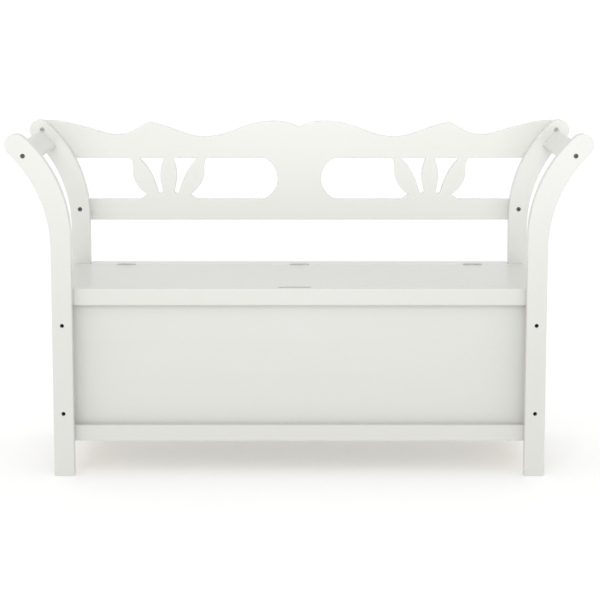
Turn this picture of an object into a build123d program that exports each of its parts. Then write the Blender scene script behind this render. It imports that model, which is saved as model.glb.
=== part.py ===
from build123d import *
from math import asin, atan2, cos, degrees, radians, sin, sqrt
import os

# Storage bench: a hinged seat over a chest, four posts that lean out at the top, two arm
# rails and a fretted backrest board.
# Frame: origin on the floor under the middle of the bench, +Z up. The front faces -Y.
# "left" is -X and "right" is +X, as seen by someone who stands in front of the bench.
# All sizes are in millimetres.

# ---- driving dimensions ----
WIDTH = 1260.0
DEPTH = 420.0
HEIGHT = 750.0
LID_TOP = 411.0              # seat height
CHEST_BOTTOM = 72.0          # clearance under the chest

POST_THICKNESS = 26.0
POST_WIDTH = 43.5
POST_INNER = 492.0           # |X| of the straight inner edge
POST_END_RADIUS = 24.0
POST_OUTER_BEND = 290.0      # radius of the hollow outer edge
POST_INNER_BEND = 295.0      # radius of the crowned inner edge
POST_EDGE = 2.0

BOARD_THICKNESS = 14.0       # backrest board and back panel, both behind the rear posts
BOARD_BOTTOM = 512.0
BOARD_EDGE = 1.5
BOARD_INSET = 2.5            # the ends lie this far inside the posts' outline
FRET_BOTTOM = 561.3          # the cut-outs of the backrest board
FRET_TOP = 658.8
FRET_INNER = 51.0
FRET_INNER_RADIUS = 53.5
LEAF_CENTRE = 307.8          # |X| of each group of three leaves

ARM_CENTRE = (591.5, 703.0)  # |X| and Z of the rail's section
ARM_WIDTH = 50.0
ARM_THICKNESS = 18.0
ARM_TILT = 47.3              # slope of the wide faces, degrees
ARM_EDGE = 4.0

LID_HALF_WIDTH = 527.0
LID_THICKNESS = 16.0
LID_EDGE = 2.0
LID_GAP = 2.5                # behind the front posts
LIP_DEPTH = 37.0             # height of the seat's front edge
LIP_THICKNESS = 13.0
LIP_HALF_WIDTH = 503.0
SLOT_CENTRE_X = -10.0
SLOT_LENGTH = 74.0
SLOT_WIDTH = 15.0

PANEL_THICKNESS = 15.0       # side panels
FRONT_PANEL_THICKNESS = 12.0
FRONT_PANEL_SETBACK = 48.0   # from the front of the front posts
RAIL_THICKNESS = 20.0        # bottom rail, in front of the front panel
RAIL_TOP = 107.4
STRIP_DEPTH = 54.0           # fixed strip behind the lid
REST_GAP = 0.5               # between the lid's underside and the side panels

BATTEN = 18.0
FLOOR_THICKNESS = 10.0
FLOOR_GAP = 0.5              # round the floor panel

HINGE_CENTRES = (-407.0, 0.0, 407.0)
HINGE_LENGTH = 44.0
HINGE_LEAF = 1.0
HINGE_SPLAY = 0.6            # between the two closed leaves
HINGE_LEAF_DROP = 14.0       # from the lid's top to the leaf's lower edge
KNUCKLE_RADIUS = 2.75
KNUCKLE_RISE = 1.2           # hinge axis above the lid's top
PIN_RADIUS = 1.4
KNUCKLES = 5

BOLT_RADIUS = 3.0
BOLT_HEAD_RADIUS = 4.2
BOLT_HEAD_HEIGHT = 6.0
BOLT_SOCKET = 4.0            # across the flats
BOLT_LEVELS = (139.0, 334.0)
BARREL_RADIUS = 5.0
BARREL_REACH = 49.0          # from the panel's end to the barrel nut
DOWEL_RADIUS = 3.0
DOWEL_LENGTH = 26.0
SCREW_RADIUS = 1.6
SCREW_CROSS = (3.4, 0.8)     # length and width of the slots in a screw's head
HOLE_CLEARANCE = 0.1         # on the radius, round every fixing
HOLE_SPARE = 0.5             # depth left past the end of a nut or screw

PANEL_EDGE = 0.8             # easing of the panels' edges
RAIL_EDGE = 1.2              # easing of the rails, battens and the strip

# ---- places that follow from them ----
FRONT = -DEPTH / 2
BACK = DEPTH / 2
FRONT_POST_BACK = FRONT + POST_THICKNESS
REAR_POST_BACK = BACK - BOARD_THICKNESS
REAR_POST_FRONT = REAR_POST_BACK - POST_THICKNESS
POST_OUTER = POST_INNER + POST_WIDTH
POST_CENTRE = POST_INNER + POST_WIDTH / 2
POST_END = (WIDTH / 2 - POST_END_RADIUS, HEIGHT - POST_END_RADIUS)

SIDE_INNER = POST_CENTRE - PANEL_THICKNESS / 2
SIDE_TOP = LID_TOP - LID_THICKNESS - REST_GAP
LID_BOTTOM = LID_TOP - LID_THICKNESS
LID_FRONT = FRONT_POST_BACK + LID_GAP
LIP_BOTTOM = LID_TOP - LIP_DEPTH
FRONT_PANEL_FRONT = FRONT + FRONT_PANEL_SETBACK
FRONT_PANEL_BACK = FRONT_PANEL_FRONT + FRONT_PANEL_THICKNESS
FRONT_PANEL_TOP = LIP_BOTTOM + 4.0   # leaves finger room behind the lip
STRIP_FRONT = BACK - STRIP_DEPTH
LID_BACK = STRIP_FRONT - 2 * HINGE_LEAF - HINGE_SPLAY
AXIS_Y = (STRIP_FRONT + LID_BACK) / 2
AXIS_Z = LID_TOP + KNUCKLE_RISE
SIDES = (("left", -1), ("right", 1))

# Each curved edge of a post is one arc: tangent to its straight edge, and to the round tip.
OUTER_CENTRE_X = POST_OUTER + POST_OUTER_BEND
OUTER_DROP = sqrt((POST_OUTER_BEND + POST_END_RADIUS) ** 2 - (OUTER_CENTRE_X - POST_END[0]) ** 2)
OUTER_CENTRE_Z = POST_END[1] - OUTER_DROP
INNER_CENTRE_X = POST_INNER + POST_INNER_BEND
INNER_DROP = sqrt((POST_INNER_BEND - POST_END_RADIUS) ** 2 - (INNER_CENTRE_X - POST_END[0]) ** 2)
INNER_CENTRE_Z = POST_END[1] - INNER_DROP
OUTER_MEET = degrees(atan2(POST_END[1] - OUTER_CENTRE_Z, POST_END[0] - OUTER_CENTRE_X))
INNER_MEET = degrees(atan2(POST_END[1] - INNER_CENTRE_Z, POST_END[0] - INNER_CENTRE_X))
OUTER_CENTRE = (OUTER_CENTRE_X, OUTER_CENTRE_Z)
INNER_CENTRE = (INNER_CENTRE_X, INNER_CENTRE_Z)

FORWARD = (0, -1, 0)
BACKWARD = (0, 1, 0)
SAME = 0.01                  # two places nearer than this are the same


def save(name, shape):
    """Write one node to its own file."""
    shape.label = name
    export_step(shape, f"parts/{name}.step")


def block(x, y, z, edge=0.0):
    """A box from its (low, high) limits, with its edges eased."""
    middle = [(low + high) / 2 for low, high in (x, y, z)]
    box = Pos(*middle) * Box(*(high - low for low, high in (x, y, z)))
    return fillet(box.edges(), edge) if edge else box


def rod(start, direction, length, radius):
    """A cylinder that starts at a point and runs along a direction."""
    return extrude(Plane(origin=start, z_dir=direction) * Circle(radius), length)


def slab(outline, y_front, thickness):
    """A flat board parallel to XZ from the edges of its outline, its front face at y_front."""
    face_plane = Plane(origin=(0, y_front, 0), x_dir=(1, 0, 0), z_dir=(0, -1, 0))
    return extrude(face_plane * make_face(outline), -thickness)


def ease(board, y_planes, radius):
    """Round the edges of a board's front and back faces."""
    edges = [e for e in board.edges() if any(abs(e.center().Y - y) < SAME for y in y_planes)]
    return fillet(edges, radius)


def mirrored(shape, side):
    """The same piece for the +X side, or its mirror image for the -X side."""
    return shape if side > 0 else mirror(shape, about=Plane.YZ)


def arc(centre, radius, start, end):
    """An arc between two angles in degrees."""
    return CenterArc((*centre, 0), radius, start, end - start)


def bolt(start, direction, length, socket_depth=3.0):
    """A socket-head bolt; start is the middle of the head's outer face."""
    head = rod(start, direction, BOLT_HEAD_HEIGHT, BOLT_HEAD_RADIUS)
    shank = rod(start, direction, length, BOLT_RADIUS)
    hexagon = RegularPolygon(BOLT_SOCKET / 2, 6, major_radius=False)
    socket = extrude(Plane(origin=start, z_dir=direction) * hexagon, socket_depth)
    return head + shank - socket


def bolt_hole(surface, direction, sink, length, mouth):
    """The counterbored hole of a bolt whose head lies sink below the surface."""
    hole = rod(surface, direction, sink + length + 1, BOLT_RADIUS + HOLE_CLEARANCE)
    return hole + rod(surface, direction, sink + BOLT_HEAD_HEIGHT, mouth)


def wood_screw(start, direction, length):
    """A countersunk screw; start is the middle of the head's outer face."""
    plane = Plane(origin=start, z_dir=direction)
    head = loft([plane * Circle(2 * SCREW_RADIUS), plane.offset(SCREW_RADIUS) * Circle(SCREW_RADIUS)])
    cross = Rectangle(*SCREW_CROSS) + Rectangle(*reversed(SCREW_CROSS))
    return head + rod(start, direction, length, SCREW_RADIUS) - extrude(plane * cross, SCREW_CROSS[1])


def screw_hole(start, direction, length):
    """The hole that a wood screw sits in."""
    plane = Plane(origin=start, z_dir=direction)
    mouth = 2 * SCREW_RADIUS + HOLE_CLEARANCE
    shank = SCREW_RADIUS + HOLE_CLEARANCE
    head = loft([plane * Circle(mouth), plane.offset(SCREW_RADIUS) * Circle(shank)])
    return head + rod(start, direction, length + HOLE_SPARE, shank)


def dowel(centre, direction):
    """A dowel centred on a joint, with its ends chamfered."""
    start = Vector(*centre) - Vector(*direction) * (DOWEL_LENGTH / 2)
    body = rod(tuple(start), direction, DOWEL_LENGTH, DOWEL_RADIUS)
    return chamfer(body.edges().filter_by(GeomType.CIRCLE), DOWEL_RADIUS / 5)


def dowel_hole(centre, direction):
    """The hole that a dowel sits in, 1 mm longer at each end."""
    start = Vector(*centre) - Vector(*direction) * (DOWEL_LENGTH / 2 + 1)
    return rod(tuple(start), direction, DOWEL_LENGTH + 2, DOWEL_RADIUS + HOLE_CLEARANCE)


# ---- fixings: where they are, and the holes they need ----
CHEST_FRONT_SINK = 8.0       # these heads lie deep in narrow holes
CHEST_REAR_SINK = 2.0
CHEST_MOUTH = 4.5
ARM_SINK = 1.2               # these heads lie just under the surface
ARM_MOUTH = 5.2
BACKREST_BOLTS = ((515.0, 540.0), (600.0, 727.0))
SLEEVE_RADIUS = 4.6
SLEEVE_LENGTH = 10.0
BARREL_FRONT_Y = FRONT_POST_BACK + BARREL_REACH
BARREL_REAR_Y = REAR_POST_FRONT - BARREL_REACH
SIDE_BARREL_LENGTH = 12.5
ARM_BARREL_LENGTH = 14.0
ARM_NORMAL = (sin(radians(ARM_TILT)), -cos(radians(ARM_TILT)))   # outward and down, +X side


def both_sides(*points):
    """(X, Z) points on the +X side, and their mirror images."""
    return [(side * x, z) for side in (-1, 1) for x, z in points]


CHEST_POINTS = both_sides(*((POST_CENTRE, level) for level in BOLT_LEVELS))
ARM_POINTS = both_sides(ARM_CENTRE)
BACKREST_POINTS = both_sides(*BACKREST_BOLTS)


def bolt_set(points, y_surface, y_tip, sink, mouth):
    """The bolts that enter a surface at a list of (X, Z) points, and their holes."""
    direction = BACKWARD if y_tip > y_surface else FORWARD
    y_head = y_surface + sink * direction[1]
    length = abs(y_tip - y_head)
    bolts = [bolt((x, y_head, z), direction, length) for x, z in points]
    holes = [bolt_hole((x, y_surface, z), direction, sink, length, mouth) for x, z in points]
    return bolts, holes


front_chest_bolts, front_chest_holes = bolt_set(
    CHEST_POINTS, FRONT, BARREL_FRONT_Y + BARREL_RADIUS, CHEST_FRONT_SINK, CHEST_MOUTH)
rear_chest_bolts, rear_chest_holes = bolt_set(
    CHEST_POINTS, BACK, BARREL_REAR_Y - BARREL_RADIUS, CHEST_REAR_SINK, CHEST_MOUTH)
front_arm_bolts, front_arm_holes = bolt_set(
    ARM_POINTS, FRONT, BARREL_FRONT_Y + BARREL_RADIUS, ARM_SINK, ARM_MOUTH)
rear_arm_bolts, rear_arm_holes = bolt_set(
    ARM_POINTS, BACK, BARREL_REAR_Y - BARREL_RADIUS, ARM_SINK, ARM_MOUTH)
backrest_bolts, backrest_holes = bolt_set(
    BACKREST_POINTS, REAR_POST_FRONT, REAR_POST_BACK + SLEEVE_LENGTH, ARM_SINK, ARM_MOUTH)


def tapped(nuts, points):
    """Nuts with the holes that their bolts pass through."""
    spans = [rod((x, FRONT, z), BACKWARD, DEPTH, BOLT_RADIUS + HOLE_CLEARANCE) for x, z in points]
    return [nut - spans for nut in nuts]


def side_barrels(radius, length):
    """Cylinders let into the inner faces of the side panels."""
    return [rod((side * SIDE_INNER, y, z), (side, 0, 0), length, radius)
            for _, side in SIDES for z in BOLT_LEVELS for y in (BARREL_FRONT_Y, BARREL_REAR_Y)]


def arm_barrels(radius, length):
    """Cylinders let into the undersides of the arm rails."""
    nx, nz = ARM_NORMAL
    x = ARM_CENTRE[0] + nx * ARM_THICKNESS / 2
    z = ARM_CENTRE[1] + nz * ARM_THICKNESS / 2
    return [rod((side * x, y, z), (-side * nx, 0, -nz), length, radius)
            for _, side in SIDES for y in (BARREL_FRONT_Y, BARREL_REAR_Y)]


def sleeves(radius, length):
    """Cylinders let into the front face of the backrest board."""
    return [rod((x, REAR_POST_BACK, z), BACKWARD, length, radius) for x, z in BACKREST_POINTS]


def side_dowels(x, y, *levels):
    """Dowels that run across the bench through (x, y), on both sides, at each level."""
    return [((side * x, y, z), (side, 0, 0)) for _, side in SIDES for z in levels]


FRONT_PANEL_DOWELS = side_dowels(SIDE_INNER, (FRONT_PANEL_FRONT + FRONT_PANEL_BACK) / 2, 165.0, 255.0, 355.0)
BOTTOM_RAIL_DOWELS = side_dowels(SIDE_INNER, FRONT_PANEL_FRONT - RAIL_THICKNESS / 2, CHEST_BOTTOM + BATTEN)
REAR_STRIP_DOWELS = side_dowels(POST_INNER, (REAR_POST_FRONT + REAR_POST_BACK) / 2, (LID_TOP + SIDE_TOP) / 2)
LIP_DOWELS = [((x, LID_FRONT + LIP_THICKNESS / 2, LID_BOTTOM), (0, 0, 1)) for x in (-420, -140, 140, 420)]


def dowels(sites):
    return [dowel(*site) for site in sites]


def dowel_holes(sites):
    return [dowel_hole(*site) for site in sites]


# ---- posts ----
def make_posts():
    outline = (
        Line((POST_INNER, 0), (POST_OUTER, 0))
        + Line((POST_OUTER, 0), (POST_OUTER, OUTER_CENTRE_Z))
        + arc(OUTER_CENTRE, POST_OUTER_BEND, 180, OUTER_MEET)
        + arc(POST_END, POST_END_RADIUS, OUTER_MEET - 180, INNER_MEET)
        + arc(INNER_CENTRE, POST_INNER_BEND, INNER_MEET, 180)
        + Line((POST_INNER, INNER_CENTRE_Z), (POST_INNER, 0))
    )
    blank = ease(slab(outline, 0, POST_THICKNESS), (0, POST_THICKNESS), POST_EDGE)
    rear_holes = rear_chest_holes + rear_arm_holes + backrest_holes + dowel_holes(REAR_STRIP_DOWELS)
    for name, side in SIDES:
        front = Pos(0, FRONT, 0) * mirrored(blank, side)
        save(f"front_post_{name}", front - (front_chest_holes + front_arm_holes))
        rear = Pos(0, REAR_POST_FRONT, 0) * mirrored(blank, side)
        save(f"rear_post_{name}", rear - rear_holes)


# ---- arm rails ----
def make_arm_rails():
    across = Plane(origin=(ARM_CENTRE[0], FRONT_POST_BACK, ARM_CENTRE[1]),
                   x_dir=(cos(radians(ARM_TILT)), 0, sin(radians(ARM_TILT))), z_dir=BACKWARD)
    section = across * RectangleRounded(ARM_WIDTH, ARM_THICKNESS, ARM_EDGE)
    rail = extrude(section, REAR_POST_FRONT - FRONT_POST_BACK)
    barrel_holes = arm_barrels(BARREL_RADIUS + HOLE_CLEARANCE, ARM_BARREL_LENGTH + HOLE_SPARE)
    holes = front_arm_holes + rear_arm_holes + barrel_holes
    for name, side in SIDES:
        save(f"arm_rail_{name}", mirrored(rail, side) - holes)


# ---- backrest board ----
PLATEAU = 747.5              # the board's straight top, next to the posts' round tips
WEB_SETBACK = 7.0            # the outer cut-outs end this far behind the posts' inner edge
LEAF_FOOT = 572.5            # where the side leaves spring from the mound
SLOT_FLOOR = 574.5           # bottom of the slits between the leaves
LEAF_CORNER = 3.0
SHOULDER_RADIUS = 20.0       # softens the corners between a cut-out's round end and its straight edges
FRET_MIDDLE = (FRET_BOTTOM + FRET_TOP) / 2
PLATE_MARGIN = 10.0          # of the working plate round an opening


def wave(points, start_slope, end_slope):
    """A smooth stretch of the board's top edge, with its slopes at both ends."""
    return Spline(*points, tangents=((1, start_slope), (1, end_slope)))


def board_half():
    """The outline of the +X half: wavy top, end just inside the post's outline, straight bottom."""
    end_radius = PLATEAU - POST_END[1]
    bend = POST_OUTER_BEND + POST_END_RADIUS - end_radius
    low = 180 - degrees(asin((BOARD_BOTTOM - OUTER_CENTRE_Z) / bend))
    low_x = OUTER_CENTRE_X + bend * cos(radians(low))
    return [
        wave(((0, 731), (60, 745.5)), 0.55, 0),
        wave(((60, 745.5), (145, 727.5), (223, 709)), 0, 0),
        wave(((223, 709), (294, 726.6), (351, 743)), 0, 0.2),
        wave(((351, 743), (427, 714)), -0.3, 0),
        wave(((427, 714), (482, 726), (530, 738.5), (592, PLATEAU)), 0, 0),
        Line((592, PLATEAU), (POST_END[0], PLATEAU)),
        arc(POST_END, end_radius, 90, OUTER_MEET - 180),
        arc(OUTER_CENTRE, bend, OUTER_MEET, low),
        Line((low_x, BOARD_BOTTOM), (0, BOARD_BOTTOM)),
    ]


def leaf_points(side, *points):
    """Points given by their distance from the middle of a group of leaves."""
    return [(LEAF_CENTRE + side * x, z) for x, z in points]


def side_leaf_edge(side):
    """The outer edge of a side leaf, from the top of the cut-out down to the mound."""
    points = leaf_points(side, (90, FRET_TOP), (84, 645), (83, 618), (72.5, 593), (50, LEAF_FOOT))
    return Spline(*points)


def slit(side):
    """The opening between the middle leaf and a side leaf."""
    low = SLOT_FLOOR + 5
    middle = leaf_points(side, (9, FRET_TOP), (16, 642), (19.6, 620), (17, 595), (13.5, low))
    outer = leaf_points(side, (25, low), (29.5, 595), (37, 614), (53.5, 642), (71.5, FRET_TOP))
    bottom = leaf_points(side, (19.3, SLOT_FLOOR))[0]
    opening = make_face([Spline(*middle), ThreePointArc(middle[-1], bottom, outer[0]),
                         Spline(*outer), Line(outer[-1], middle[0])])
    return fillet(opening.vertices().filter_by(lambda v: v.Y > FRET_MIDDLE), LEAF_CORNER)


def inner_opening():
    """The long cut-out between the middle of the board and the leaves, round at its inner end."""
    half_height = FRET_MIDDLE - FRET_BOTTOM
    shoulder = FRET_INNER + FRET_INNER_RADIUS - sqrt(FRET_INNER_RADIUS**2 - half_height**2)
    top, foot, mound = leaf_points(-1, (90, FRET_TOP), (50, LEAF_FOOT), (66, FRET_BOTTOM))
    high, low = (shoulder, FRET_TOP), (shoulder, FRET_BOTTOM)
    opening = make_face([
        Line(high, top), side_leaf_edge(-1), Line(foot, mound), Line(mound, low),
        ThreePointArc(low, (FRET_INNER, FRET_MIDDLE), high)])
    beside_leaves = opening.vertices().filter_by(lambda v: v.X > LEAF_CENTRE / 2 and v.Y > FRET_MIDDLE)
    opening = fillet(beside_leaves, LEAF_CORNER)
    return fillet(opening.vertices().filter_by(lambda v: v.X < LEAF_CENTRE / 2), SHOULDER_RADIUS)


def outer_opening():
    """The cut-out between the leaves and the post; its outer end follows the post's curve."""
    bend = POST_INNER_BEND - WEB_SETBACK
    high = 180 - degrees(asin((FRET_TOP - INNER_CENTRE_Z) / bend))
    low = 180 - degrees(asin((FRET_BOTTOM - INNER_CENTRE_Z) / bend))
    high_x, low_x = (INNER_CENTRE_X + bend * cos(radians(a)) for a in (high, low))
    top, foot, mound = leaf_points(1, (90, FRET_TOP), (50, LEAF_FOOT), (66, FRET_BOTTOM))
    opening = make_face([
        Line(top, (high_x, FRET_TOP)), arc(INNER_CENTRE, bend, high, low), Line((low_x, FRET_BOTTOM), mound),
        Line(mound, foot), side_leaf_edge(1)])
    beside_leaves = opening.vertices().filter_by(lambda v: v.X < POST_INNER and v.Y > FRET_MIDDLE)
    return fillet(beside_leaves, LEAF_CORNER)


BACK_PLANE = Plane(origin=(0, REAR_POST_BACK, 0), x_dir=(1, 0, 0), z_dir=FORWARD)
BOARD_FACES = (REAR_POST_BACK, BACK)


def flared(opening):
    """The solid to cut for an opening: it widens at both faces, so the edges come out rounded."""
    box = opening.bounding_box()
    x_span = (box.min.X - PLATE_MARGIN, box.max.X + PLATE_MARGIN)
    z_span = (box.min.Y - PLATE_MARGIN, box.max.Y + PLATE_MARGIN)
    whole = block(x_span, BOARD_FACES, z_span)
    plate = whole - extrude(BACK_PLANE * opening, -BOARD_THICKNESS)

    def on_rim(middle):
        return (min(abs(middle.Y - y) for y in BOARD_FACES) < SAME
                and x_span[0] + SAME < middle.X < x_span[1] - SAME
                and z_span[0] + SAME < middle.Z < z_span[1] - SAME)

    return whole - fillet([edge for edge in plate.edges() if on_rim(edge.center())], BOARD_EDGE)


def make_backrest():
    half = board_half()
    face = make_face(half + [mirror(edge, about=Plane.YZ) for edge in half])
    board = ease(extrude(BACK_PLANE * face, -BOARD_THICKNESS), BOARD_FACES, BOARD_EDGE)
    for opening in (inner_opening(), slit(-1), slit(1), outer_opening()):
        cut = flared(opening)
        board = board - [cut, mirror(cut, about=Plane.YZ)]
    holes = rear_arm_holes + sleeves(SLEEVE_RADIUS + HOLE_CLEARANCE, SLEEVE_LENGTH + HOLE_SPARE)
    save("backrest_board", board - holes)
    nuts = tapped(sleeves(SLEEVE_RADIUS, SLEEVE_LENGTH), BACKREST_POINTS)
    save("backrest_sleeve_nuts", Compound(children=nuts))


# ---- chest ----
BATTEN_Z = CHEST_BOTTOM + BATTEN / 2
BATTEN_SPAN = (CHEST_BOTTOM, CHEST_BOTTOM + BATTEN)
BATTEN_SCREW_LENGTH = BATTEN + 9.0
BATTEN_SCREW_X = (-300, 0, 300)
BATTEN_SCREW_Y = (-95, 105)
BATTEN_SCREWS = (
    [((x, FRONT_PANEL_BACK + BATTEN, BATTEN_Z), FORWARD, BATTEN_SCREW_LENGTH) for x in BATTEN_SCREW_X]
    + [((x, REAR_POST_BACK - BATTEN, BATTEN_Z), BACKWARD, BATTEN_SCREW_LENGTH) for x in BATTEN_SCREW_X]
    + [((side * (SIDE_INNER - BATTEN), y, BATTEN_Z), (side, 0, 0), BATTEN_SCREW_LENGTH)
       for _, side in SIDES for y in BATTEN_SCREW_Y]
)
batten_screw_holes = [screw_hole(*site) for site in BATTEN_SCREWS]


def make_chest():
    side_y = (FRONT_POST_BACK, REAR_POST_FRONT)
    side_x = (SIDE_INNER, SIDE_INNER + PANEL_THICKNESS)
    side_panel = block(side_x, side_y, (CHEST_BOTTOM, SIDE_TOP), PANEL_EDGE)
    barrel_holes = side_barrels(BARREL_RADIUS + HOLE_CLEARANCE, SIDE_BARREL_LENGTH + HOLE_SPARE)
    side_holes = (front_chest_holes + rear_chest_holes + barrel_holes + batten_screw_holes
                  + dowel_holes(FRONT_PANEL_DOWELS + BOTTOM_RAIL_DOWELS))
    for name, side in SIDES:
        save(f"side_panel_{name}", mirrored(side_panel, side) - side_holes)

    inside = (-SIDE_INNER, SIDE_INNER)
    panel_y = (FRONT_PANEL_FRONT, FRONT_PANEL_BACK)
    panel = block(inside, panel_y, (CHEST_BOTTOM, FRONT_PANEL_TOP), PANEL_EDGE)
    save("front_panel", panel - (dowel_holes(FRONT_PANEL_DOWELS) + batten_screw_holes))
    rail_y = (FRONT_PANEL_FRONT - RAIL_THICKNESS, FRONT_PANEL_FRONT)
    rail = block(inside, rail_y, (CHEST_BOTTOM, RAIL_TOP), RAIL_EDGE)
    save("bottom_rail", rail - dowel_holes(BOTTOM_RAIL_DOWELS))

    back_x = (-POST_OUTER + BOARD_INSET, POST_OUTER - BOARD_INSET)
    back = block(back_x, (REAR_POST_BACK, BACK), (CHEST_BOTTOM, SIDE_TOP), PANEL_EDGE)
    save("back_panel", back - (rear_chest_holes + batten_screw_holes))

    notch = block((POST_INNER - FLOOR_GAP, POST_OUTER), (REAR_POST_FRONT - FLOOR_GAP, BACK), (0, LID_TOP))
    floor_x = (-SIDE_INNER + FLOOR_GAP, SIDE_INNER - FLOOR_GAP)
    floor_y = (FRONT_PANEL_BACK + FLOOR_GAP, REAR_POST_BACK - FLOOR_GAP)
    floor_z = (CHEST_BOTTOM + BATTEN, CHEST_BOTTOM + BATTEN + FLOOR_THICKNESS)
    floor = block(floor_x, floor_y, floor_z)
    save("floor_panel", floor - [notch, mirror(notch, about=Plane.YZ)])

    batten_x = (SIDE_INNER - BATTEN, SIDE_INNER)
    side_batten = block(batten_x, (FRONT_PANEL_BACK, REAR_POST_FRONT), BATTEN_SPAN, RAIL_EDGE)
    for name, side in SIDES:
        save(f"floor_batten_{name}", mirrored(side_batten, side) - batten_screw_holes)
    front_x = SIDE_INNER - BATTEN
    front_y = (FRONT_PANEL_BACK, FRONT_PANEL_BACK + BATTEN)
    front_batten = block((-front_x, front_x), front_y, BATTEN_SPAN, RAIL_EDGE)
    save("floor_batten_front", front_batten - batten_screw_holes)
    rear_x = POST_INNER - BATTEN
    rear_y = (REAR_POST_BACK - BATTEN, REAR_POST_BACK)
    rear_batten = block((-rear_x, rear_x), rear_y, BATTEN_SPAN, RAIL_EDGE)
    save("floor_batten_rear", rear_batten - batten_screw_holes)
    save("batten_screws", Compound(children=[wood_screw(*site) for site in BATTEN_SCREWS]))


# ---- hinges ----
KNUCKLE_PLAY = 0.15          # at each end of a knuckle
KNUCKLE_CLEARANCE = 0.3      # round the other leaf's knuckles
RECESS_CLEARANCE = 0.5       # round the knuckles, in the boards
PIN_CLEARANCE = 0.05
LEAF_SCREW_OFFSET = 13.0
LEAF_SCREW_LENGTH = 14.0
LEAF_SCREW_Z = LID_TOP - 9.0
STRIP_LEAF_FACE = STRIP_FRONT - HINGE_LEAF
LID_LEAF_FACE = LID_BACK + HINGE_LEAF


def along_axis(x_low, x_high, radius):
    """A cylinder about the hinge axis."""
    return rod((x_low, AXIS_Y, AXIS_Z), (1, 0, 0), x_high - x_low, radius)


def leaf_screws(y_face, direction):
    """Where the screws of one side of all three hinges sit."""
    return [((x + offset, y_face, LEAF_SCREW_Z), direction, LEAF_SCREW_LENGTH)
            for x in HINGE_CENTRES for offset in (-LEAF_SCREW_OFFSET, LEAF_SCREW_OFFSET)]


STRIP_SCREWS = leaf_screws(STRIP_LEAF_FACE, BACKWARD)
LID_SCREWS = leaf_screws(LID_LEAF_FACE, FORWARD)
strip_screw_holes = [screw_hole(*site) for site in STRIP_SCREWS]
lid_screw_holes = [screw_hole(*site) for site in LID_SCREWS]
RECESS_HALF = HINGE_LENGTH / 2 + RECESS_CLEARANCE
knuckle_recesses = [along_axis(x - RECESS_HALF, x + RECESS_HALF, KNUCKLE_RADIUS + RECESS_CLEARANCE)
                    for x in HINGE_CENTRES]


def hinge_leaf(centre, y, own_knuckles, holes):
    """A leaf plate with its knuckles, cleared round the other leaf's knuckles."""
    start = centre - HINGE_LENGTH / 2
    step = HINGE_LENGTH / KNUCKLES
    leaf = block((start, start + HINGE_LENGTH), y, (LID_TOP - HINGE_LEAF_DROP, AXIS_Z))
    for i in range(KNUCKLES):
        low, high = start + i * step, start + (i + 1) * step
        if i in own_knuckles:
            leaf = leaf + along_axis(low + KNUCKLE_PLAY, high - KNUCKLE_PLAY, KNUCKLE_RADIUS)
        else:
            space = along_axis(low - KNUCKLE_PLAY, high + KNUCKLE_PLAY, KNUCKLE_RADIUS + KNUCKLE_CLEARANCE)
            leaf = leaf - space
    bore = along_axis(start, start + HINGE_LENGTH, PIN_RADIUS + PIN_CLEARANCE)
    return leaf - bore - holes


def make_hinges():
    for name, centre in zip(("left", "middle", "right"), HINGE_CENTRES):
        strip_leaf = hinge_leaf(centre, (STRIP_LEAF_FACE, STRIP_FRONT), (0, 2, 4), strip_screw_holes)
        lid_leaf = hinge_leaf(centre, (LID_BACK, LID_LEAF_FACE), (1, 3), lid_screw_holes)
        save(f"hinge_strip_leaf_{name}", strip_leaf)
        save(f"hinge_lid_leaf_{name}", lid_leaf)
        pin = along_axis(centre - HINGE_LENGTH / 2, centre + HINGE_LENGTH / 2, PIN_RADIUS)
        save(f"hinge_pin_{name}", pin)
    save("hinge_strip_screws", Compound(children=[wood_screw(*site) for site in STRIP_SCREWS]))
    save("hinge_lid_screws", Compound(children=[wood_screw(*site) for site in LID_SCREWS]))


# ---- strip behind the lid ----
def make_rear_strip():
    strip = block((-LID_HALF_WIDTH, LID_HALF_WIDTH), (STRIP_FRONT, BACK), (SIDE_TOP, LID_TOP))
    notch = block((POST_INNER, POST_OUTER), (REAR_POST_FRONT, BACK), (SIDE_TOP, LID_TOP))
    strip = strip - [notch, mirror(notch, about=Plane.YZ)]
    strip = fillet(strip.faces().sort_by(Axis.Z)[-1].edges(), RAIL_EDGE)
    save("rear_strip", strip - (knuckle_recesses + strip_screw_holes + dowel_holes(REAR_STRIP_DOWELS)))


# ---- lid ----
def make_lid():
    board = block((-LID_HALF_WIDTH, LID_HALF_WIDTH), (LID_FRONT, LID_BACK), (LID_BOTTOM, LID_TOP))
    board = fillet(board.edges().filter_by(Axis.Z), LID_EDGE)
    board = fillet(board.faces().sort_by(Axis.Z)[-1].edges(), LID_EDGE)
    slot_y = LID_FRONT + LIP_THICKNESS + SLOT_WIDTH / 2
    slot = Pos(SLOT_CENTRE_X, slot_y, LID_BOTTOM) * SlotOverall(SLOT_LENGTH, SLOT_WIDTH)
    board = board - extrude(slot, LID_THICKNESS)
    rim = [e for e in board.edges()
           if abs(e.center().Z - LID_TOP) < SAME and abs(e.center().Y - slot_y) < SLOT_WIDTH]
    board = fillet(rim, LID_EDGE / 2)
    save("lid_board", board - (knuckle_recesses + lid_screw_holes + dowel_holes(LIP_DOWELS)))
    lip_y = (LID_FRONT, LID_FRONT + LIP_THICKNESS)
    lip = block((-LIP_HALF_WIDTH, LIP_HALF_WIDTH), lip_y, (LIP_BOTTOM, LID_BOTTOM))
    lip = fillet(lip.faces().sort_by(Axis.Z)[0].edges(), LID_EDGE)
    save("lid_lip", lip - dowel_holes(LIP_DOWELS))


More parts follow.
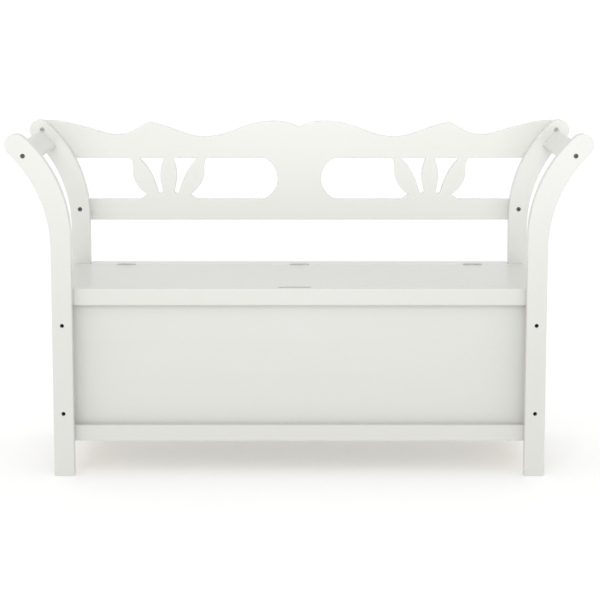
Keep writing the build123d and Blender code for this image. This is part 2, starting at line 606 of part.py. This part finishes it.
# ---- loose fixings ----
def make_fixings():
    groups = {
        "chest_front_bolts": front_chest_bolts,
        "chest_rear_bolts": rear_chest_bolts,
        "arm_front_bolts": front_arm_bolts,
        "arm_rear_bolts": rear_arm_bolts,
        "backrest_lower_bolts": backrest_bolts[0::2],
        "backrest_upper_bolts": backrest_bolts[1::2],
        "side_barrel_nuts": tapped(side_barrels(BARREL_RADIUS, SIDE_BARREL_LENGTH), CHEST_POINTS),
        "arm_barrel_nuts": tapped(arm_barrels(BARREL_RADIUS, ARM_BARREL_LENGTH), ARM_POINTS),
        "front_panel_dowels": dowels(FRONT_PANEL_DOWELS),
        "bottom_rail_dowels": dowels(BOTTOM_RAIL_DOWELS),
        "rear_strip_dowels": dowels(REAR_STRIP_DOWELS),
        "lip_dowels": dowels(LIP_DOWELS),
    }
    for name, pieces in groups.items():
        save(name, Compound(children=pieces))


os.makedirs("parts", exist_ok=True)
make_posts()
make_arm_rails()
make_backrest()
make_chest()
make_hinges()
make_rear_strip()
make_lid()
make_fixings()
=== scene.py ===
import math

import bpy
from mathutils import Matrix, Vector


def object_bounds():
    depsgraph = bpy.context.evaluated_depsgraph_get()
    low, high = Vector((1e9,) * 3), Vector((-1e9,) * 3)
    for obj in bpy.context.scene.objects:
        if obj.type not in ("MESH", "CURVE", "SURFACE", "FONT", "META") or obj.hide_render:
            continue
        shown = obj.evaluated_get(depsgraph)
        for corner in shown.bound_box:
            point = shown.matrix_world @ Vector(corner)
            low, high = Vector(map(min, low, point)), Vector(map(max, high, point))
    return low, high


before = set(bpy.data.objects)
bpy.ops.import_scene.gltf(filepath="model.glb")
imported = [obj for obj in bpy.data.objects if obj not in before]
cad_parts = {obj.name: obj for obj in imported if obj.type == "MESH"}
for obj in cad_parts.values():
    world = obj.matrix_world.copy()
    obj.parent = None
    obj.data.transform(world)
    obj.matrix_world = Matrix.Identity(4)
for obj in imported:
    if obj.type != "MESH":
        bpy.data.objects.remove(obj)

# Storage bench: looks for the CAD nodes, a pale floor, light and camera.
# Everything is in metres, in the frame of the CAD model: +Z up, the front faces -Y.

cad_low, cad_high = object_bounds()
scene = bpy.context.scene

FRONT = cad_low.y


# ---- node helpers ----
MIX_FACTOR, MIX_FIRST, MIX_SECOND, MIX_RESULT = 0, 6, 7, 2   # sockets of a Mix node that mixes colours
HOLLOW_SAMPLES = 8


class Nodes:
    """A material's node tree, with short calls that make and link nodes."""

    def __init__(self, name):
        self.material = bpy.data.materials.new(name)
        self.material.use_nodes = True
        self.tree = self.material.node_tree
        self.shader = self.tree.nodes["Principled BSDF"]

    def add(self, kind, **settings):
        node = self.tree.nodes.new(kind)
        for key, value in settings.items():
            setattr(node, key, value)
        return node

    def link(self, source, target):
        self.tree.links.new(source, target)

    def place(self, scale=(1, 1, 1)):
        """Object coordinates, scaled: a small scale stretches a pattern along that axis."""
        coordinates = self.add("ShaderNodeTexCoord")
        mapping = self.add("ShaderNodeMapping")
        mapping.inputs["Scale"].default_value = scale
        self.link(coordinates.outputs["Object"], mapping.inputs["Vector"])
        return mapping.outputs["Vector"]

    def noise(self, vector, scale, detail=2.0, roughness=0.5, distortion=0.0):
        node = self.add("ShaderNodeTexNoise")
        node.inputs["Scale"].default_value = scale
        node.inputs["Detail"].default_value = detail
        node.inputs["Roughness"].default_value = roughness
        node.inputs["Distortion"].default_value = distortion
        self.link(vector, node.inputs["Vector"])
        return node.outputs["Fac"]

    def openness(self, distance):
        """1 on open surfaces, and less where another surface is nearer than the distance."""
        node = self.add("ShaderNodeAmbientOcclusion", samples=HOLLOW_SAMPLES)
        node.inputs["Distance"].default_value = distance
        return node.outputs["AO"]

    def spread(self, value, low, high, from_low, from_high):
        """A value moved from one range to another, and kept inside it."""
        node = self.add("ShaderNodeMapRange")
        ends = {"From Min": from_low, "From Max": from_high, "To Min": low, "To Max": high}
        for key, number in ends.items():
            node.inputs[key].default_value = number
        self.link(value, node.inputs["Value"])
        return node.outputs["Result"]

    def mix(self, factor, first, second):
        """Two colours mixed by a socket; each colour is a tuple or a socket."""
        node = self.add("ShaderNodeMix", data_type="RGBA")
        self.link(factor, node.inputs[MIX_FACTOR])
        for source, target in ((first, node.inputs[MIX_FIRST]), (second, node.inputs[MIX_SECOND])):
            if isinstance(source, tuple):
                target.default_value = (*source, 1.0)
            else:
                self.link(source, target)
        return node.outputs[MIX_RESULT]

    def bump(self, height, distance, strength, normal=None):
        node = self.add("ShaderNodeBump")
        node.inputs["Distance"].default_value = distance
        node.inputs["Strength"].default_value = strength
        self.link(height, node.inputs["Height"])
        if normal is not None:
            self.link(normal, node.inputs["Normal"])
        return node.outputs["Normal"]

    def finish(self, colour, roughness=None, normal=None, **constants):
        """Link the shader's main sockets; a constant goes straight on the socket of its name."""
        for source, key in ((colour, "Base Color"), (roughness, "Roughness"), (normal, "Normal")):
            if source is not None:
                self.link(source, self.shader.inputs[key])
        for key, value in constants.items():
            self.shader.inputs[key.replace("_", " ")].default_value = value
        return self.material


# ---- paint ----
PAINT = (0.700, 0.701, 0.675)
# a warmer, darker tone: random tint in the clouds and strokes, and painted shade in the corners
PAINT_WARM_AND_SHADE = (0.678, 0.668, 0.630)
ALONG_GRAIN = 0.05           # patterns are drawn out twenty times along the grain
GRAIN = {"x": (ALONG_GRAIN, 1, 1), "y": (1, ALONG_GRAIN, 1), "z": (1, 1, ALONG_GRAIN)}
PAINT_ROUGHNESS = (0.30, 0.38)
PAINT_GLOSS = {"IOR": 1.48, "Coat_Weight": 0.15, "Coat_Roughness": 0.12}

FIBRES = {"scale": 170, "detail": 5, "roughness": 0.6, "distortion": 0.4}
STROKES = {"scale": 34, "detail": 1, "roughness": 0.4}
ROLLER = {"scale": 420, "detail": 2, "roughness": 0.5}
CLOUD = {"scale": 2.2, "detail": 0}
FIBRE_BUMP = (0.0002, 0.45)  # distance and strength
STROKE_BUMP = (0.0002, 0.20)
ROLLER_BUMP = (0.0001, 0.30)

NOISE_MIDDLE = (0.2, 0.8)    # most of a noise's values lie between these
CLOUD_WARMTH = 0.3           # how far each pattern moves the paint towards its warm tone
STROKE_WARMTH = 0.16
# painted shade: how far the paint turns darker and warmer in corners, where another surface is near
CORNER_SHADE = 0.25
CORNER_SHADE_DISTANCE = 0.02
CORNER_SHADE_RANGE = (0.35, 0.95)


def paint(name, grain, roughness=PAINT_ROUGHNESS, shade=1.0):
    """Off-white semi-gloss paint over wood: faint grain, fine roller texture, and painted shade that
    makes the corners darker and warmer.
    """
    # shade above 1 paints a lighter copy of the same paint: painted light
    base, warm_and_shade = (tuple(shade * c for c in colour) for colour in (PAINT, PAINT_WARM_AND_SHADE))
    n = Nodes(name)
    along = n.place(GRAIN[grain])
    plain = n.place()
    fibres = n.noise(along, **FIBRES)
    strokes = n.noise(along, **STROKES)
    roller = n.noise(plain, **ROLLER)
    cloud = n.noise(plain, **CLOUD)
    tone = n.mix(n.spread(cloud, 0.0, CLOUD_WARMTH, *NOISE_MIDDLE), base, warm_and_shade)
    tone = n.mix(n.spread(strokes, 0.0, STROKE_WARMTH, *NOISE_MIDDLE), tone, warm_and_shade)
    # painted shade: the paint turns darker and warmer where another surface is near
    tone = n.mix(n.spread(n.openness(CORNER_SHADE_DISTANCE), CORNER_SHADE, 0.0, *CORNER_SHADE_RANGE), tone, warm_and_shade)
    wet = n.spread(cloud, *roughness, *NOISE_MIDDLE)
    rough = n.bump(fibres, *FIBRE_BUMP)
    rough = n.bump(strokes, *STROKE_BUMP, rough)
    rough = n.bump(roller, *ROLLER_BUMP, rough)
    return n.finish(tone, wet, rough, **PAINT_GLOSS)


# ---- bare wood ----
WOOD_DARK = (0.66, 0.47, 0.27)
WOOD_LIGHT = (0.79, 0.63, 0.42)
WOOD_FIBRE = (0.55, 0.37, 0.20)
RINGS = {"Scale": 28, "Distortion": 6, "Detail": 3, "Detail Scale": 1.4}
WOOD_FIBRES = {"scale": 260, "detail": 6, "roughness": 0.65}
WOOD_FIBRE_MIX = 0.5
WOOD_FIBRE_RANGE = (0.45, 0.7)
WOOD_ROUGHNESS = (0.5, 0.68)
WOOD_BUMP = (0.0002, 0.5)


def bare_wood(name, grain):
    """Pale softwood with growth rings drawn out along the board."""
    n = Nodes(name)
    along = n.place(GRAIN[grain])
    rings = n.add("ShaderNodeTexWave", wave_type="RINGS", rings_direction=grain.upper())
    for key, number in RINGS.items():
        rings.inputs[key].default_value = number
    n.link(along, rings.inputs["Vector"])
    fibres = n.noise(along, **WOOD_FIBRES)
    tone = n.mix(rings.outputs["Fac"], WOOD_DARK, WOOD_LIGHT)
    tone = n.mix(n.spread(fibres, 0.0, WOOD_FIBRE_MIX, *WOOD_FIBRE_RANGE), tone, WOOD_FIBRE)
    return n.finish(tone, n.spread(fibres, *WOOD_ROUGHNESS, 0.0, 1.0), n.bump(fibres, *WOOD_BUMP))


# ---- metal ----
BLOTCHES = {"scale": 320, "detail": 4, "roughness": 0.6}
SCRATCHES = {"scale": 2600, "detail": 2}
BRUSHED = (1, 1, 0.08)
SCRATCH_BUMP = (0.00003, 0.4)
DARKEST_BLOTCH_AND_SHADE = 0.35               # of the metal's colour, in its blotches and in the painted shade of its recesses
GRIME = 0.25
GRIME_RANGE = (0.35, 0.75)
RECESS_SHADE_DISTANCE = 0.003
RECESS_SHADE_RANGE = (0.3, 0.9)
SMOOTHEST, ROUGHEST = 0.8, 1.3   # times the metal's roughness
GLOSS_RANGE = (0.3, 0.7)


def metal(name, colour, roughness, metallic=1.0, recess_shade=0.8):
    """Plated steel with fine brushing, blotches, and painted shade that darkens its recesses."""
    n = Nodes(name)
    blotch = n.noise(n.place(), **BLOTCHES)
    scratches = n.noise(n.place(BRUSHED), **SCRATCHES)
    dark_blotch_and_shade = tuple(c * DARKEST_BLOTCH_AND_SHADE for c in colour)
    tone = n.mix(n.spread(blotch, 0.0, GRIME, *GRIME_RANGE), colour, dark_blotch_and_shade)
    # painted shade: the metal turns darker where another surface is near
    tone = n.mix(n.spread(n.openness(RECESS_SHADE_DISTANCE), recess_shade, 0.0, *RECESS_SHADE_RANGE), tone, dark_blotch_and_shade)
    gloss = n.spread(blotch, roughness * SMOOTHEST, roughness * ROUGHEST, *GLOSS_RANGE)
    return n.finish(tone, gloss, n.bump(scratches, *SCRATCH_BUMP), Metallic=metallic)


# ---- which node wears what ----
MATERIALS = {
    "paint_x": paint("paint_along_x", "x"),
    "paint_y": paint("paint_along_y", "y"),
    "paint_z": paint("paint_along_z", "z"),
    "seat": paint("paint_seat", "x", roughness=(0.28, 0.33)),
    # painted light: the rear strip is the lid's paint, made lighter than the lid
    "strip": paint("paint_strip_lit", "x", shade=1.06),
    "wood_x": bare_wood("bare_wood_x", "x"),
    "wood_y": bare_wood("bare_wood_y", "y"),
    "bolt": metal("bolt_steel", (0.13, 0.13, 0.125), roughness=0.38),
    "pale_bolt": metal("pale_bolt_steel", (0.52, 0.52, 0.50), roughness=0.45),
    "black": metal("black_steel", (0.012, 0.012, 0.012), roughness=0.45, metallic=0.6),
    "zinc": metal("zinc_plate", (0.62, 0.62, 0.60), roughness=0.36),
    "hinge": metal("hinge_steel", (0.74, 0.735, 0.71), roughness=0.58, recess_shade=0.25),
}

LOOKS = {
    "paint_z": ("front_post_left", "front_post_right", "rear_post_left", "rear_post_right",
                "side_panel_left", "side_panel_right"),
    "paint_x": ("backrest_board", "front_panel", "bottom_rail", "back_panel", "floor_panel"),
    "strip": ("rear_strip",),
    "paint_y": ("arm_rail_left", "arm_rail_right"),
    "seat": ("lid_board", "lid_lip"),
    "wood_x": ("floor_batten_front", "floor_batten_rear", "front_panel_dowels", "bottom_rail_dowels",
               "rear_strip_dowels", "lip_dowels"),
    "wood_y": ("floor_batten_left", "floor_batten_right"),
    "bolt": ("arm_front_bolts", "arm_rear_bolts", "backrest_lower_bolts"),
    "pale_bolt": ("backrest_upper_bolts",),
    "black": ("chest_front_bolts", "chest_rear_bolts"),
    "zinc": ("side_barrel_nuts", "arm_barrel_nuts", "backrest_sleeve_nuts", "batten_screws",
             "hinge_strip_screws", "hinge_lid_screws"),
    "hinge": tuple(f"hinge_{part}_{place}" for part in ("strip_leaf", "lid_leaf", "pin")
                   for place in ("left", "middle", "right")),
}


def wear(node, material):
    """Give a CAD node its material."""
    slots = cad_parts[node].data.materials
    slots.clear()
    slots.append(material)


for look, names in LOOKS.items():
    for node_name in names:
        wear(node_name, MATERIALS[look])


# ---- floor ----
FLOOR_SIZE = 600.0
FLOOR_TONES = (0.885, 0.885, 0.88), (0.88, 0.88, 0.875)
FLOOR_PATCHES = {"scale": 3, "detail": 2}
PATCH_RANGE = (0.3, 0.7)
FLOOR_FINISH = {"Roughness": 0.9, "Specular_IOR_Level": 0.1, "Emission_Strength": 0.22}
WHITE = (1, 1, 1, 1)


def make_floor():
    """A pale floor, far wider than the bench; a faint glow keeps it white."""
    bpy.ops.mesh.primitive_plane_add(size=FLOOR_SIZE, location=(0, 0, 0))
    floor = bpy.context.object
    floor.name = "studio_floor"
    n = Nodes("studio_floor")
    n.shader.inputs["Emission Color"].default_value = WHITE
    patches = n.noise(n.place(), **FLOOR_PATCHES)
    tone = n.mix(n.spread(patches, 0.0, 1.0, *PATCH_RANGE), *FLOOR_TONES)
    floor.data.materials.append(n.finish(tone, **FLOOR_FINISH))


# ---- light ----
KEY = {"azimuth": 24, "elevation": 30, "strength": 0.14, "softness": 14}
FILL = {"place": (0.1, -4.4, 0.4), "target": (0, 0, 0.2), "size": (2.4, 0.7), "power": 14, "spread": 180}
BOARD_LIGHT = {"place": (-0.1, -3.0, 1.9), "target": (0, 0.2, 1.05), "size": (3.0, 0.4), "power": 3.3,
               "spread": 36}
ROOM_COLOUR = (1.0, 1.0, 0.995, 1.0)
ROOM_STRENGTH = 0.90


def add_light(name, data):
    light = bpy.data.objects.new(name, data)
    scene.collection.objects.link(light)
    return light


def area_light(name, place, target, size, power, spread):
    """A rectangular light that faces its target; the spread is in degrees."""
    data = bpy.data.lights.new(name, "AREA")
    data.shape = "RECTANGLE"
    data.size, data.size_y = size
    data.energy = power
    data.spread = math.radians(spread)
    light = add_light(name, data)
    light.location = place
    light.rotation_euler = (Vector(target) - Vector(place)).to_track_quat("-Z", "Y").to_euler()


def sun(name, azimuth, elevation, strength, softness):
    """A distant light: azimuth from straight in front towards the left, in degrees."""
    data = bpy.data.lights.new(name, "SUN")
    data.energy = strength
    data.angle = math.radians(softness)
    light = add_light(name, data)
    light.rotation_euler = (math.radians(90 - elevation), 0, math.radians(-azimuth))


def make_room():
    """Even white light from all round."""
    world = bpy.data.worlds.new("studio")
    world.use_nodes = True
    background = world.node_tree.nodes["Background"]
    background.inputs["Color"].default_value = ROOM_COLOUR
    background.inputs["Strength"].default_value = ROOM_STRENGTH
    scene.world = world


def make_light():
    sun("key", **KEY)
    area_light("fill", **FILL)
    area_light("board_light", **BOARD_LIGHT)
    make_room()
    scene.view_settings.view_transform = "Standard"


# ---- camera ----
CAMERA_DISTANCE = 4.020      # in front of the bench's front
CAMERA_HEIGHT = 1.1026
CAMERA_PITCH = 8.0           # degrees below the horizon
CAMERA_LENS = 113.34         # millimetres, as is the sensor's width
CAMERA_SENSOR = 36.0
CAMERA_SHIFT = (0.0012, -0.112)


def make_camera():
    data = bpy.data.cameras.new("camera")
    data.lens = CAMERA_LENS
    data.sensor_width = CAMERA_SENSOR
    data.shift_x, data.shift_y = CAMERA_SHIFT
    camera = bpy.data.objects.new("camera", data)
    camera.location = (0, FRONT - CAMERA_DISTANCE, CAMERA_HEIGHT)
    camera.rotation_euler = (math.radians(90 - CAMERA_PITCH), 0, 0)
    scene.collection.objects.link(camera)
    scene.camera = camera


make_floor()
make_light()
make_camera()
